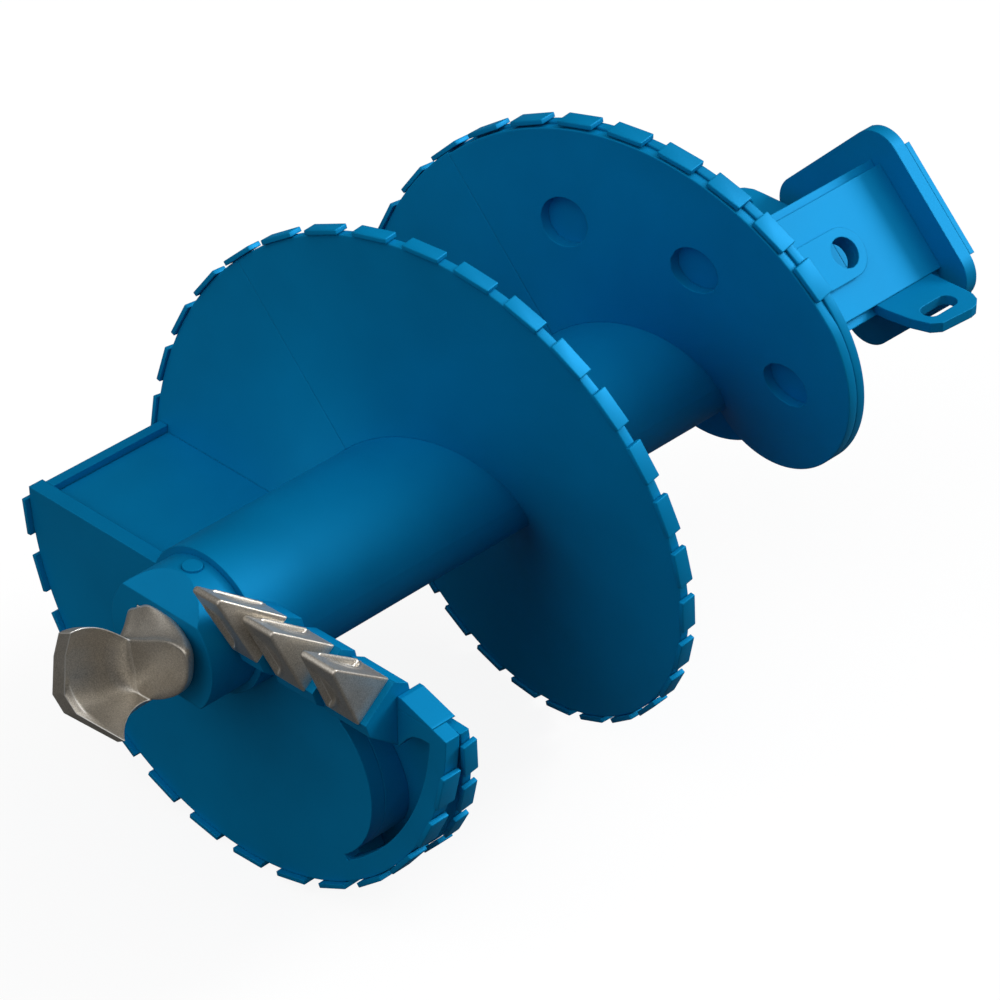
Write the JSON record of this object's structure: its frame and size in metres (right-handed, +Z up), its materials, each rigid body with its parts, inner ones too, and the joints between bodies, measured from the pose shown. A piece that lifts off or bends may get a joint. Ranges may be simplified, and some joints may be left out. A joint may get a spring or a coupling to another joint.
{
  "type": "rotary drilling auger",
  "caption": "Blue soil drilling auger: helical flights on a tube stem, half round bottom plate with teeth, pilot bit and a square kelly box.",
  "frame": {"origin": "centre of the kelly pin bore, on the drilling axis", "axes": "+Y along the drilling axis from the pilot to the kelly box, +X towards the leading edge that carries the teeth, +Z up in the lying pose"},
  "size_m": [1.0205, 1.9545, 1.0211],
  "materials": {
    "blue_paint": "satin azure blue paint over welded steel plate",
    "tooth_steel": "bare forged wear steel, satin brownish grey"
  },
  "bodies": {
    "root": {"stem_tube": "blue_paint", "pilot_holder": "blue_paint", "pilot_bit": "tooth_steel", "pilot_lock_pin": "blue_paint", "bottom_plate": "blue_paint", "riser_wall": "blue_paint", "skirt_band": "blue_paint", "gullet_wall": "blue_paint", "leading_bar": "blue_paint", "flight_lower": "blue_paint", "flight_middle": "blue_paint", "flight_upper_front": "blue_paint", "flight_upper_back": "blue_paint", "bottom_wear_blocks": "blue_paint", "lower_wear_blocks": "blue_paint", "middle_wear_blocks": "blue_paint", "upper_wear_blocks": "blue_paint", "tooth_holder_inner": "blue_paint", "tooth_holder_middle": "blue_paint", "tooth_holder_outer": "blue_paint", "tooth_inner": "tooth_steel", "tooth_middle": "tooth_steel", "tooth_outer": "tooth_steel", "kelly_base_plate": "blue_paint", "kelly_plate_pin_near": "blue_paint", "kelly_plate_pin_far": "blue_paint", "kelly_plate_side_near": "blue_paint", "kelly_plate_side_far": "blue_paint", "pin_boss_near": "blue_paint", "pin_boss_far": "blue_paint", "kelly_flange": "blue_paint", "flange_bars": "blue_paint", "lifting_lug_right": "blue_paint", "lifting_lug_left": "blue_paint"}
  },
  "joints": []
}
